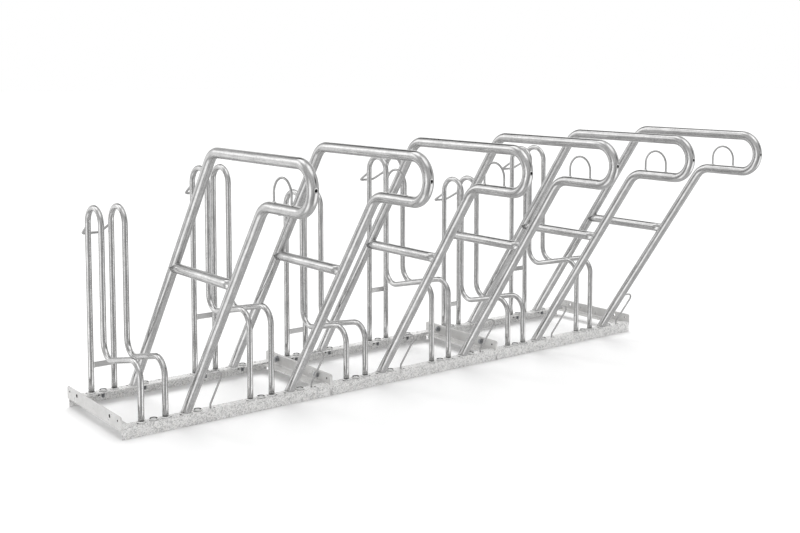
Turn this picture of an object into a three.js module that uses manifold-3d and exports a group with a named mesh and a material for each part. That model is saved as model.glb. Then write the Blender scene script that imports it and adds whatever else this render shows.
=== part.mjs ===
// A two tier bike rack of hot-dip galvanised steel: modules bolted end to end, each with a low and a tall
// wheel place. A wheel rolls in from the front, between the two bent tubes of a place, and the big hoop
// that leans out over the front holds the frame for locking.
// Millimetres. X runs along the rack from the left end, Y from the front to the back, Z up from the ground.
// Welded pieces stand a clearance apart, so that each one stays a solid of its own.
import * as THREE from "three";
import { mergeVertices } from "three/addons/utils/BufferGeometryUtils.js";
import Module from "manifold-3d";

const wasm = await Module();
wasm.setup();

// Layout of the rack
const moduleCount = 3;
const placesPerModule = 2;
const placePitch = 350;
const rackDepth = 390;
const clearance = 0.3;

// Base rails: an angle along the front and one along the back, flange on top and pointing inwards
const railLeg = 35;
const railThickness = 4;
const railRootRadius = 4;

// End angles: one across each end of a module, upright leg outside and flat leg under the rail flanges
const endAngleLeg = 40;
const endAngleThickness = 4;
const endAngleCornerRadius = 9;
const endHoleHeight = 25; // from the lower edge of the upright leg
const boltHoleInset = 75; // from the front and the back of the rack
const boltHoleDiameter = 11;
const smallHoleInset = 20;
const smallHoleDiameter = 6.5;

// Anchor bolts: round heads on top of the rail flanges, and shanks that end above the ground
const anchorHeadDiameter = 24;
const anchorHeadTopDiameter = 19; // the flat on top of the rounded head
const anchorHeadHeight = 5;
const anchorShankDiameter = 10;
const anchorShankLength = 20; // from under the head

// Wheel holders: two equal bent tubes side by side, with a bar between their back legs
const holderTubeDiameter = 18;
const holderTubeWall = 2;
const holderInset = 60; // from the start of a place to the first tube
const tyreSlot = 56; // clear width between the two tubes
const holderBendRadius = 50;
const holderTopRadius = 50.5;
const lowHolderHeight = 618;
const tallHolderRaise = 100;
const wheelRestRearHeight = 156; // where the line of the wheel rest meets the line of the upper front leg
const wheelRestRise = 57; // how much higher it meets the line of the front foot
const spacerBarHeight = 17;
const spacerBarThickness = 5;
const spacerBarLevel = 121;
const spacerGrip = 1; // how deep the bar's end sits in the wall of the tube that carries it

// Locking rods at the backs of the holders
const lockRodDiameter = 8;
const lockRodBelowTop = 65; // from the top of the holder down to where the rod meets the legs
const lockRodReach = 68;
const lockRodDrop = 36;
const lockRodTaper = 8; // how far each rear corner lies in from its leg
const lockRodBendRadius = 14;

// Leaning hoops
const hoopTubeDiameter = 30;
const hoopTubeWall = 2.5;
const hoopInset = 207; // from the start of a place to the plane of the hoop
const hoopFootInset = 0.2; // from the outer face of a rail to the foot that stands on it
const hoopLean = 55; // degrees above the ground
const hoopHeight = 814;
const hoopReach = 671; // from the front of the rails to the tip of the nose
const hoopNoseRadius = 60;
const hoopBendRadius = 60;
const hoopVentDiameter = 8;
const crossbarDiameter = 30;
const crossbarWall = 2.5;
const crossbarLevel = 450;

// Locking eyes on the lower tubes of the noses
const eyeRodDiameter = 6;
const eyeWidth = 88;
const eyeHeight = 67;
const eyeFromTip = 150;

// Locking rods beside the front feet of the hoops
const footRodDiameter = 6;
const footRodOffset = 74;
const footRodHeight = 171;
const footRodUpright = 14;
const footRodFootRadius = 12;
const footRodTopRadius = 35;

// Bolts that hold two modules together
const boltDiameter = 10;
const boltHeadWidth = 17; // across flats
const boltHeadHeight = 6.4;
const nutHeight = 8;
const boltTail = 5; // thread past the nut

// Facets
const holderSides = 8;
const holderBoreSides = 4;
const hoopSides = 12;
const hoopBoreSides = 6;
const rodSides = 5;
const hexSides = 6;
const boltHoleSides = 8;
const smallHoleSides = 6;
const anchorHeadSides = 12;
const anchorShankSides = 8;
const boltSides = 6;
const cornerSteps = 2;
const bendStep = THREE.MathUtils.degToRad(30);
const stationMerge = 0.05; // two stations nearer than this are one

// Places worked out from the sizes above
const moduleLength = placesPerModule * placePitch;
const endAngleBottom = railLeg - railThickness - clearance - endAngleThickness;
const footLevel = railLeg + clearance;
const frontFootY = railLeg / 2;
const backFootY = rackDepth - railLeg / 2;
const holderTubeSpacing = tyreSlot + holderTubeDiameter;
const slotCentreX = holderInset + holderTubeDiameter / 2 + holderTubeSpacing / 2;

// Finishes
const galvanised = new THREE.MeshStandardMaterial({ color: 0xb9bcbd, roughness: 0.42, metalness: 0.85 });
const galvanisedRail = new THREE.MeshStandardMaterial({ color: 0xc4c6c5, roughness: 0.6, metalness: 0.75 });
const zincPlated = new THREE.MeshStandardMaterial({ color: 0x8f9294, roughness: 0.4, metalness: 0.9 });

// A centre line of straight runs joined by round bends. Its stations are the ends of the straights and the
// steps round each bend, so a sweep along it has no needless rings.
class BentLine extends THREE.Curve {
  constructor(corners) {
    super();
    this.stations = [];
    const last = corners.length - 1;
    corners.forEach(({ at, radius }, i) => {
      if (i === 0) {
        this.addStation(at, corners[1].at.clone().sub(at).normalize());
      } else if (i === last) {
        this.addStation(at, at.clone().sub(corners[i - 1].at).normalize());
      } else {
        this.addBend(corners[i - 1].at, at, corners[i + 1].at, radius);
      }
    });
  }

  addStation(position, tangent) {
    const previous = this.stations.at(-1);
    if (previous && previous.position.distanceTo(position) < stationMerge) return;
    this.stations.push({ position: position.clone(), tangent });
  }

  addBend(before, corner, after, radius) {
    const inward = corner.clone().sub(before).normalize();
    const outward = after.clone().sub(corner).normalize();
    const turn = inward.angleTo(outward);
    const axis = inward.clone().cross(outward).normalize();
    const start = corner.clone().addScaledVector(inward, -radius * Math.tan(turn / 2));
    const centre = start.clone().addScaledVector(axis.clone().cross(inward), radius);
    const steps = Math.max(1, Math.round(turn / bendStep));
    for (let i = 0; i <= steps; i++) {
      const angle = (turn * i) / steps;
      const position = start.clone().sub(centre).applyAxisAngle(axis, angle).add(centre);
      this.addStation(position, inward.clone().applyAxisAngle(axis, angle));
    }
  }

  get steps() {
    return this.stations.length - 1;
  }

  getPointAt(share) {
    return this.stations[Math.round(share * this.steps)].position.clone();
  }

  getTangentAt(share) {
    return this.stations[Math.round(share * this.steps)].tangent.clone();
  }
}

function ring(radius, sides) {
  return Array.from({ length: sides }, (_, i) => {
    const angle = (2 * Math.PI * i) / sides;
    return new THREE.Vector2(radius * Math.cos(angle), radius * Math.sin(angle));
  });
}

// A round bar along a centre line
function barAlong(line, radius, sides) {
  const section = new THREE.Shape(ring(radius, sides));
  return new THREE.ExtrudeGeometry(section, { steps: line.steps, extrudePath: line });
}

// A pipe along a centre line, open at both ends
function pipeAlong(line, radius, wall, sides, boreSides) {
  const section = new THREE.Shape(ring(radius, sides));
  section.holes.push(new THREE.Path(ring(radius - wall, boreSides)));
  return new THREE.ExtrudeGeometry(section, { steps: line.steps, extrudePath: line });
}

// Solids that can be joined and cut, and their way back to a geometry
function solidOf(geometry) {
  const bare = geometry.clone().deleteAttribute("normal").deleteAttribute("uv");
  const merged = mergeVertices(bare);
  const vertProperties = merged.attributes.position.array;
  const triVerts = new Uint32Array(merged.index.array);
  return new wasm.Manifold(new wasm.Mesh({ numProp: 3, vertProperties, triVerts }));
}

function geometryOf(solid) {
  const { vertProperties, triVerts } = solid.getMesh();
  const geometry = new THREE.BufferGeometry();
  geometry.setAttribute("position", new THREE.BufferAttribute(vertProperties, 3));
  geometry.setIndex(new THREE.BufferAttribute(triVerts, 1));
  const faceted = geometry.toNonIndexed();
  faceted.computeVertexNormals();
  return faceted;
}

// A flat outline drawn in Y and Z, pushed along X
function plateAlongX(outline, thickness) {
  const plate = new THREE.ExtrudeGeometry(outline, { depth: thickness, bevelEnabled: false });
  const alongX = new THREE.Vector3(1, 0, 0);
  const alongY = new THREE.Vector3(0, 1, 0);
  const alongZ = new THREE.Vector3(0, 0, 1);
  return plate.applyMatrix4(new THREE.Matrix4().makeBasis(alongY, alongZ, alongX));
}

// An upright round bar that may taper towards its top
function uprightBar(topDiameter, footDiameter, height, sides) {
  return new THREE.CylinderGeometry(topDiameter / 2, footDiameter / 2, height, sides).rotateX(Math.PI / 2);
}

function boxBetween(from, to) {
  const size = to.clone().sub(from);
  const middle = to.clone().add(from).divideScalar(2);
  return new THREE.BoxGeometry(size.x, size.y, size.z).translate(middle.x, middle.y, middle.z);
}

// Points of an arc round a centre, for the rounded corners of an outline
function arcPoints(centreX, centreY, radius, fromAngle, toAngle) {
  return Array.from({ length: cornerSteps + 1 }, (_, i) => {
    const angle = fromAngle + ((toAngle - fromAngle) * i) / cornerSteps;
    return new THREE.Vector2(centreX + radius * Math.cos(angle), centreY + radius * Math.sin(angle));
  });
}

// Rail: an angle with a filleted root, and an anchor bolt through its flange at the middle of each tyre slot
// and beside each hoop. Its outer face is at Y = 0, and it starts a clearance past the upright leg of the
// end angle.
const railStart = clearance / 2 + endAngleThickness + clearance;
const anchorXs = Array.from({ length: placesPerModule }, (_, i) => [
  i * placePitch + slotCentreX,
  i * placePitch + hoopInset + footRodOffset / 2,
]).flat();

function railGeometry() {
  const rootCentre = railThickness + railRootRadius;
  const outline = new THREE.Shape([
    new THREE.Vector2(0, 0),
    new THREE.Vector2(railThickness, 0),
    ...arcPoints(rootCentre, railLeg - rootCentre, railRootRadius, Math.PI, Math.PI / 2),
    new THREE.Vector2(railLeg, railLeg - railThickness),
    new THREE.Vector2(railLeg, railLeg),
    new THREE.Vector2(0, railLeg),
  ]);
  let rail = solidOf(plateAlongX(outline, moduleLength - 2 * railStart).translate(railStart, 0, 0));
  // Both round parts are sunk into the flange, so that the bolt and the rail are one solid
  const grip = railThickness / 2;
  const gripLevel = railLeg - grip;
  const headLength = anchorHeadHeight + grip;
  const headTaper = (anchorHeadDiameter - anchorHeadTopDiameter) / anchorHeadHeight;
  const headFootDiameter = anchorHeadDiameter + headTaper * grip;
  const shankLength = anchorShankLength - grip;
  for (const x of anchorXs) {
    const head = uprightBar(anchorHeadTopDiameter, headFootDiameter, headLength, anchorHeadSides);
    const shank = uprightBar(anchorShankDiameter, anchorShankDiameter, shankLength, anchorShankSides);
    rail = rail.add(solidOf(head.translate(x, frontFootY, gripLevel + headLength / 2)));
    rail = rail.add(solidOf(shank.translate(x, frontFootY, gripLevel - shankLength / 2)));
  }
  return geometryOf(rail);
}

// End angle: upright leg with round upper corners, two bolt holes and two small holes, and a flat leg that
// lies between the rails, under their flanges. Its outer face is at X = 0.
function endAngleGeometry() {
  const top = endAngleBottom + endAngleLeg;
  const cornerY = rackDepth - endAngleCornerRadius;
  const cornerZ = top - endAngleCornerRadius;
  const outline = new THREE.Shape([
    new THREE.Vector2(0, endAngleBottom),
    new THREE.Vector2(rackDepth, endAngleBottom),
    ...arcPoints(cornerY, cornerZ, endAngleCornerRadius, 0, Math.PI / 2),
    ...arcPoints(endAngleCornerRadius, cornerZ, endAngleCornerRadius, Math.PI / 2, Math.PI),
  ]);
  for (const [inset, diameter, sides] of [
    [boltHoleInset, boltHoleDiameter, boltHoleSides],
    [smallHoleInset, smallHoleDiameter, smallHoleSides],
  ]) {
    for (const y of [inset, rackDepth - inset]) {
      const hole = ring(diameter / 2, sides);
      hole.forEach((point) => point.add(new THREE.Vector2(y, endAngleBottom + endHoleHeight)));
      outline.holes.push(new THREE.Path(hole));
    }
  }
  const upright = solidOf(plateAlongX(outline, endAngleThickness));
  const railClear = railThickness + railRootRadius + clearance;
  const flat = boxBetween(
    new THREE.Vector3(0, railClear, endAngleBottom),
    new THREE.Vector3(endAngleLeg, rackDepth - railClear, endAngleBottom + endAngleThickness),
  );
  return geometryOf(upright.add(solidOf(flat)));
}

// Wheel holder tube: up from the back rail, over the top, down, forward along the wheel rest, and down to
// the front rail. The tall one is the same, raised above its feet.
function holderLine(raise) {
  const top = lowHolderHeight + raise - holderTubeDiameter / 2;
  const innerY = backFootY - 2 * holderTopRadius;
  const restRear = wheelRestRearHeight + raise;
  return new BentLine([
    { at: new THREE.Vector3(0, backFootY, footLevel) },
    { at: new THREE.Vector3(0, backFootY, top), radius: holderTopRadius },
    { at: new THREE.Vector3(0, innerY, top), radius: holderTopRadius },
    { at: new THREE.Vector3(0, innerY, restRear), radius: holderBendRadius },
    { at: new THREE.Vector3(0, frontFootY, restRear + wheelRestRise), radius: holderBendRadius },
    { at: new THREE.Vector3(0, frontFootY, footLevel) },
  ]);
}

function holderTubeGeometry(raise) {
  const radius = holderTubeDiameter / 2;
  return pipeAlong(holderLine(raise), radius, holderTubeWall, holderSides, holderBoreSides);
}

// The left tube also carries the flat bar that keeps the two back legs apart
function holderTubeWithBarGeometry(raise) {
  const level = spacerBarLevel + raise;
  const bar = boxBetween(
    new THREE.Vector3(
      holderTubeDiameter / 2 - spacerGrip,
      backFootY - spacerBarThickness / 2,
      level - spacerBarHeight / 2,
    ),
    new THREE.Vector3(
      holderTubeSpacing - holderTubeDiameter / 2 - clearance,
      backFootY + spacerBarThickness / 2,
      level + spacerBarHeight / 2,
    ),
  );
  return geometryOf(solidOf(holderTubeGeometry(raise)).add(solidOf(bar)));
}

// Locking rod at the back of a holder: from one back leg out and down, across, and back to the other leg
function lockRodGeometry(raise) {
  const level = lowHolderHeight + raise - lockRodBelowTop;
  const farY = backFootY + lockRodReach;
  const line = new BentLine([
    { at: new THREE.Vector3(0, backFootY, level) },
    { at: new THREE.Vector3(lockRodTaper, farY, level - lockRodDrop), radius: lockRodBendRadius },
    {
      at: new THREE.Vector3(holderTubeSpacing - lockRodTaper, farY, level - lockRodDrop),
      radius: lockRodBendRadius,
    },
    { at: new THREE.Vector3(holderTubeSpacing, backFootY, level) },
  ]);
  const rod = solidOf(barAlong(line, lockRodDiameter / 2, rodSides));
  const leftRoom = barAlong(holderLine(raise), holderTubeDiameter / 2 + clearance, holderSides);
  const rightRoom = leftRoom.clone().translate(holderTubeSpacing, 0, 0);
  return geometryOf(rod.subtract(solidOf(leftRoom)).subtract(solidOf(rightRoom)));
}

// Big hoop: up from the back foot on a slant, level out to the nose, round it, back along the lower tube
// and down on the same slant to the front foot. Its plane is X = 0.
const hoopLeanAngle = THREE.MathUtils.degToRad(hoopLean);
const hoopSlope = Math.tan(hoopLeanAngle);
const hoopFootY = hoopFootInset + hoopTubeDiameter / 2 / Math.sin(hoopLeanAngle);
const hoopTopZ = hoopHeight - hoopTubeDiameter / 2;
const hoopLowerZ = hoopTopZ - 2 * hoopNoseRadius;
const noseY = hoopTubeDiameter / 2 - hoopReach;

function onBackLeg(z) {
  return new THREE.Vector3(0, rackDepth - hoopFootY - (z - railLeg) / hoopSlope, z);
}

function onFrontLeg(z) {
  return new THREE.Vector3(0, hoopFootY - (z - railLeg) / hoopSlope, z);
}

function hoopLine() {
  return new BentLine([
    { at: onBackLeg(footLevel - hoopTubeDiameter) },
    { at: onBackLeg(hoopTopZ), radius: hoopBendRadius },
    { at: new THREE.Vector3(0, noseY, hoopTopZ), radius: hoopNoseRadius },
    { at: new THREE.Vector3(0, noseY, hoopLowerZ), radius: hoopNoseRadius },
    { at: onFrontLeg(hoopLowerZ), radius: hoopBendRadius },
    { at: onFrontLeg(footLevel - hoopTubeDiameter) },
  ]);
}

// The room that the hoop takes, a clearance larger, for cutting what is welded to it
function hoopRoom() {
  return solidOf(barAlong(hoopLine(), hoopTubeDiameter / 2 + clearance, hoopSides));
}

function hoopGeometry() {
  const radius = hoopTubeDiameter / 2;
  const pipe = solidOf(pipeAlong(hoopLine(), radius, hoopTubeWall, hoopSides, hoopBoreSides));
  const belowFeet = boxBetween(
    new THREE.Vector3(-hoopTubeDiameter, -hoopTubeDiameter, footLevel - 3 * hoopTubeDiameter),
    new THREE.Vector3(hoopTubeDiameter, rackDepth + 3 * hoopTubeDiameter, footLevel),
  );
  const vent = new THREE.CylinderGeometry(
    hoopVentDiameter / 2,
    hoopVentDiameter / 2,
    hoopTubeDiameter,
    smallHoleSides,
  ).translate(0, noseY - radius, hoopTopZ - hoopNoseRadius);
  return geometryOf(pipe.subtract(solidOf(belowFeet)).subtract(solidOf(vent)));
}

function crossbarGeometry() {
  const line = new BentLine([{ at: onFrontLeg(crossbarLevel) }, { at: onBackLeg(crossbarLevel) }]);
  const bar = pipeAlong(line, crossbarDiameter / 2, crossbarWall, hoopSides, hoopBoreSides);
  return geometryOf(solidOf(bar).subtract(hoopRoom()));
}

// Locking eye: a bent rod that stands on the lower tube of the nose
function eyeGeometry() {
  const bend = (eyeWidth - eyeRodDiameter) / 2;
  const middle = eyeFromTip - hoopReach;
  const top = hoopLowerZ + hoopTubeDiameter / 2 + eyeHeight - eyeRodDiameter / 2;
  const line = new BentLine([
    { at: new THREE.Vector3(0, middle - bend, hoopLowerZ) },
    { at: new THREE.Vector3(0, middle - bend, top), radius: bend },
    { at: new THREE.Vector3(0, middle + bend, top), radius: bend },
    { at: new THREE.Vector3(0, middle + bend, hoopLowerZ) },
  ]);
  return geometryOf(solidOf(barAlong(line, eyeRodDiameter / 2, rodSides)).subtract(hoopRoom()));
}

// Foot rod: up from the front rail, along the hoop's leg, and across to it
function footRodGeometry() {
  const knee = footLevel + footRodUpright;
  const top = onFrontLeg(footRodHeight);
  const line = new BentLine([
    { at: new THREE.Vector3(footRodOffset, onFrontLeg(knee).y, footLevel) },
    { at: new THREE.Vector3(footRodOffset, onFrontLeg(knee).y, knee), radius: footRodFootRadius },
    { at: new THREE.Vector3(footRodOffset, top.y, top.z), radius: footRodTopRadius },
    { at: top },
  ]);
  return geometryOf(solidOf(barAlong(line, footRodDiameter / 2, rodSides)).subtract(hoopRoom()));
}

// Bolt with its nut, along X, with the joint between two modules at X = 0
function boltGeometry() {
  const cornerRadius = boltHeadWidth / 2 / Math.cos(Math.PI / 6);
  const grip = railStart;
  const tip = grip + nutHeight + boltTail;
  const alongX = (radius, from, to, sides) => {
    const bar = new THREE.CylinderGeometry(radius, radius, to - from, sides).rotateZ(Math.PI / 2);
    return solidOf(bar.translate((from + to) / 2, 0, 0));
  };
  const head = alongX(cornerRadius, grip, grip + boltHeadHeight, hexSides);
  const nut = alongX(cornerRadius, -grip - nutHeight, -grip, hexSides);
  const shank = alongX(boltDiameter / 2, -tip, grip + boltHeadHeight / 2, boltSides);
  return geometryOf(shank.add(head).add(nut));
}

// Assembly
function piece(name, geometry, material, x = 0, y = 0, z = 0) {
  const mesh = new THREE.Mesh(geometry, material);
  mesh.name = name;
  mesh.position.set(x, y, z);
  return mesh;
}

function placeGroup(number, isTall) {
  const place = new THREE.Group();
  const raise = isTall ? tallHolderRaise : 0;
  const leftX = holderInset + holderTubeDiameter / 2;
  const rightX = leftX + holderTubeSpacing;
  place.add(
    piece(`holder_${number}_left_tube`, holderTubeWithBarGeometry(raise), galvanised, leftX),
    piece(`holder_${number}_right_tube`, holderTubeGeometry(raise), galvanised, rightX),
    piece(`holder_${number}_lock_rod`, lockRodGeometry(raise), galvanised, leftX),
    piece(`hoop_${number}_tube`, hoopGeometry(), galvanised, hoopInset),
    piece(`hoop_${number}_crossbar`, crossbarGeometry(), galvanised, hoopInset),
    piece(`hoop_${number}_eye`, eyeGeometry(), galvanised, hoopInset),
    piece(`hoop_${number}_foot_rod`, footRodGeometry(), galvanised, hoopInset),
  );
  return place;
}

function moduleGroup(number) {
  const module = new THREE.Group();
  const backRail = piece(`module_${number}_back_rail`, railGeometry(), galvanisedRail);
  backRail.scale.y = -1;
  backRail.position.y = rackDepth;
  const rightAngle = piece(`module_${number}_right_end_angle`, endAngleGeometry(), galvanisedRail);
  rightAngle.rotation.z = Math.PI;
  rightAngle.position.set(moduleLength - clearance / 2, rackDepth, 0);
  module.add(
    piece(`module_${number}_front_rail`, railGeometry(), galvanisedRail),
    backRail,
    piece(`module_${number}_left_end_angle`, endAngleGeometry(), galvanisedRail, clearance / 2),
    rightAngle,
  );
  for (let i = 0; i < placesPerModule; i++) {
    const place = placeGroup((number - 1) * placesPerModule + i + 1, i % 2 === 1);
    place.position.x = i * placePitch;
    module.add(place);
  }
  return module;
}

const rack = new THREE.Group();
for (let i = 0; i < moduleCount; i++) {
  const module = moduleGroup(i + 1);
  module.position.x = i * moduleLength;
  rack.add(module);
}
for (let i = 1; i < moduleCount; i++) {
  const jointX = i * moduleLength;
  const frontY = boltHoleInset;
  const backY = rackDepth - boltHoleInset;
  const holeZ = endAngleBottom + endHoleHeight;
  rack.add(
    piece(`joint_${i}_front_bolt`, boltGeometry(), zincPlated, jointX, frontY, holeZ),
    piece(`joint_${i}_back_bolt`, boltGeometry(), zincPlated, jointX, backY, holeZ),
  );
}

// The origin is on the ground, under the middle of the rack's bounding box
const bounds = new THREE.Box3().setFromObject(rack);
const middle = bounds.getCenter(new THREE.Vector3());
rack.position.set(-middle.x, -middle.y, -bounds.min.z);

export default rack;
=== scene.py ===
"""Looks of the two tier bike rack: smooth galvanised tubes, rods and angles, with their welds and bolts."""

import math
import random

import bmesh
import bpy
from mathutils import Matrix, Vector, noise


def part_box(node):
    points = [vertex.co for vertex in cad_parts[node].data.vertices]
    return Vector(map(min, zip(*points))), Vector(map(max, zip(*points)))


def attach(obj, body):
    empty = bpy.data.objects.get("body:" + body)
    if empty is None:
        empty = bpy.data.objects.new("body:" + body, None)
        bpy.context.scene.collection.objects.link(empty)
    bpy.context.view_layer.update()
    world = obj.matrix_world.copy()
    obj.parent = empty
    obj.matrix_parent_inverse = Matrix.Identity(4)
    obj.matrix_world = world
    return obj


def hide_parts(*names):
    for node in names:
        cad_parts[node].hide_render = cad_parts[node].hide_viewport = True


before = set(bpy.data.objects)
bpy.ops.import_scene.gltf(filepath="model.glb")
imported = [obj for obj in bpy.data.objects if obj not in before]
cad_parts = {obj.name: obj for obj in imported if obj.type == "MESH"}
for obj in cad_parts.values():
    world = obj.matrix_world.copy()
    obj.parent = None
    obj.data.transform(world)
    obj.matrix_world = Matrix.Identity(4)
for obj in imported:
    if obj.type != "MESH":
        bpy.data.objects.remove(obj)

bl_info = {
    "name": "Bike rack",
    "version": (1, 0, 0),
    "blender": (4, 5, 0),
    "location": "View3D > Sidebar > Bike rack",
    "description": "Builds the visible surfaces of a two tier bike rack round its packed solids",
    "category": "Object",
}

# The rack's own corner: X = 0 at the left end, Y = 0 at the front face, Z = 0 on the ground
FIRST_ANGLE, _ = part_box("module_1_left_end_angle")
FRONT_RAIL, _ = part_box("module_1_front_rail")
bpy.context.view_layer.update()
CLEARANCE = 0.0003  # between pieces that are welded together
CORNER = Vector((FIRST_ANGLE.x - CLEARANCE / 2, FRONT_RAIL.y, 0.0))
MODULES = sum(name.endswith("front_rail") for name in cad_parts)
PLACES = sum(name.endswith("_eye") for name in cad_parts)
PLACES_PER_MODULE = PLACES // MODULES
X_AXIS, Y_AXIS, Z_AXIS = Vector((1, 0, 0)), Vector((0, 1, 0)), Vector((0, 0, 1))

# Small sizes in metres
SAME_POINT = 1e-5  # points of a line that are closer count as one
OVERRUN = 0.01  # of a cutter past what it cuts
HAIR = 0.0001  # just enough to keep two surfaces apart
SUNK = 0.0005  # of an anchor's head in the flange, and of a painted shade line inside the flange's edge
FOOT_LIFT, ROD_LIFT, EYE_LIFT = 0.0004, 0.0003, 0.0002  # of the middle of a weld bead off its seat
ROD_BEAD_OUT = 0.0004  # from a rod's surface to the middle of the bead round its foot
LOCK_BEAD_OUT, LOCK_BEAD_OFF = 0.0005, 0.0006  # the same for a lock rod, and off its tube
LINE_LOW, LINE_HIGH = -0.0004, 0.0002  # lower and upper face of the painted shade lines on a rail
ANCHOR_LINE = 0.0007  # width of the painted shade line round an anchor's head
DRAINS_FROM_TUBE = (-0.0130, 0.087)  # along the rail, from the middle of a holder's left tube
DRAINS_FROM_HOOP = (-0.0205, 0.088)  # and from a hoop's plane
LEG_HOLE_ASIDE = 0.008  # from an anchor to the hole in the rail's leg
SHALLOW = 0.0012  # depth of that hole, and of the bright rim of the vent hole
VENT_DEPTH = 0.006
BAR_EDGE = 0.0012  # rounding of the spacer bars
BAR_IN_TUBES = (0.001, 0.0004)  # how far a spacer bar reaches into the left and the right tube
THREAD_TIP, TIP_BEVEL = 0.0012, 0.0010  # of a joint bolt
FLOOR_HALF, FLOOR_DROP = 40.0, 0.0003

# Shares of other sizes
FOOT_BEAD_OUT, HOOP_BEAD_OUT = 0.3, 0.25  # of a foot's bead, from the tube's surface to the bead's middle
LINE_OUT = 1.15  # of a foot's bead, from its middle to the painted shade line's edge
BAR_BEAD, BAR_BEAD_OUT = 0.8, 1.1  # of a rod's bead and of the bar's thickness, at a spacer bar's ends
END_WELD_START, END_WELD_RUN = 0.12, 0.76  # of a rail's flange
THREAD_ROOT, SHANK_TIP = 0.86, 0.8  # of a thread's radius
BOLT_TIP, BEVEL_TOP = 0.74, 0.9
NUT_THREAD = 0.9  # of the nut's height, where the thread starts
HEX_FACE, HEX_CHAMFER = 0.97, math.tan(math.radians(30))
HOLE_EDGE, VENT_EDGE = 0.502, 0.505  # of a hole's diameter, just outside its wall

# Points round a section, and longest straight run between two stations
HOLDER_SIDES, HOOP_SIDES, ROD_SIDES, ROD_BEAD_POINTS = 28, 40, 16, 18
DRILL_SIDES, HEAD_SIDES, ANCHOR_SIDES, BOLT_SIDES, HEX_SIDES = 24, 40, 20, 24, 48
TUBE_RUN, CROSSBAR_RUN, LOCK_RUN, ROD_RUN = 0.05, 0.04, 0.03, 0.02
FINE_STEP = math.radians(5)  # between two stations of a hoop's bends
END_WELD_POINTS, BAR_STEPS, CORNER_STEPS = 12, 8, 8

# A weld bead: lumps to the metre, how much they and its even waves swell it, and the step of the waves
LUMPS, LUMP_SWELL, WAVE_SWELL, WAVE_STEP = 90, 0.28, 0.10, 2.1
THIN_END = 0.05  # least share of an open bead's section at its ends
ASKEW = Vector((0.13, 0.21, 0.97))  # a direction that no bead runs along

WHITE = (1.0, 1.0, 1.0, 1.0)
SENSOR_WIDTH = 36.0
SOFT_BOX_WAY, FILL_WAY = Vector((-0.16, -0.42, -0.90)), Vector((0.86, 0.30, -0.40))


def number(name, description, default, **more):
    return bpy.props.FloatProperty(name=name, description=description, default=default, **more)


def length(name, description, default):
    """A size that the user may change, in metres."""
    return number(name, description, default, min=0.0, precision=4, unit="LENGTH")


def angle(name, description, degrees):
    return number(name, description, math.radians(degrees), subtype="ANGLE")


def share(name, description, default):
    return number(name, description, default, min=0.0, max=1.0, subtype="FACTOR")


def colour(name, description, default):
    return bpy.props.FloatVectorProperty(
        name=name, description=description, default=default, size=3, min=0.0, max=1.0, subtype="COLOR"
    )


class RackBaseSizes(bpy.types.PropertyGroup):
    """Sizes of the base modules"""

    place_pitch: length("Place pitch", "Distance from one wheel place to the next", 0.350)
    depth: length("Depth", "From the front face to the back face of the base", 0.390)
    rail_leg: length("Rail leg", "Width of both legs of a rail", 0.035)
    rail_thickness: length("Rail thickness", "Thickness of a rail's legs", 0.004)
    rail_root: length("Root radius", "Fillet between the legs of a rail or end angle", 0.004)
    toe_radius: length("Toe radius", "Rounding at the inner edge of an angle's legs", 0.0022)
    heel_radius: length("Heel radius", "Rounding of the zinc on an angle's outer corners", 0.0018)
    end_leg: length("End angle leg", "Width of both legs of an end angle", 0.040)
    end_thickness: length("End angle thickness", "Thickness of an end angle's legs", 0.004)
    end_corner: length("End angle corner", "Radius of the upper corners", 0.009)
    end_hole_height: length("Hole height", "Of the holes above the end angle's lower edge", 0.025)
    bolt_hole_inset: length("Bolt hole inset", "From the front and the back of the base", 0.075)
    bolt_hole: length("Bolt hole", "Diameter of the bolt holes", 0.011)
    small_hole_inset: length("Small hole inset", "From the front and the back of the base", 0.020)
    small_hole: length("Small hole", "Diameter of the small holes", 0.0065)
    anchor_head: length("Anchor head", "Diameter of an anchor bolt's round head", 0.024)
    anchor_dish: length("Anchor dish", "Diameter of the shallow dish on top of that head", 0.0165)
    anchor_dish_depth: length("Anchor dish depth", "How far the dish lies under the head's rim", 0.0015)
    anchor_height: length("Anchor height", "Height of that head above the flange", 0.005)
    anchor_shank: length("Anchor shank", "Diameter of the shank under the flange", 0.010)
    anchor_reach: length("Anchor reach", "From under the head to the shank's end", 0.020)
    drain_hole: length("Drain hole", "Diameter of the zinc drain holes in the flanges", 0.007)
    drain_offset: length("Drain hole offset", "From the middle of the flange towards the outer face", 0.0065)
    leg_hole: length("Leg hole", "Diameter of the shallow hole in the rail's leg at each anchor", 0.007)
    leg_hole_level: length("Leg hole level", "Height of that hole above the ground", 0.021)


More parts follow.
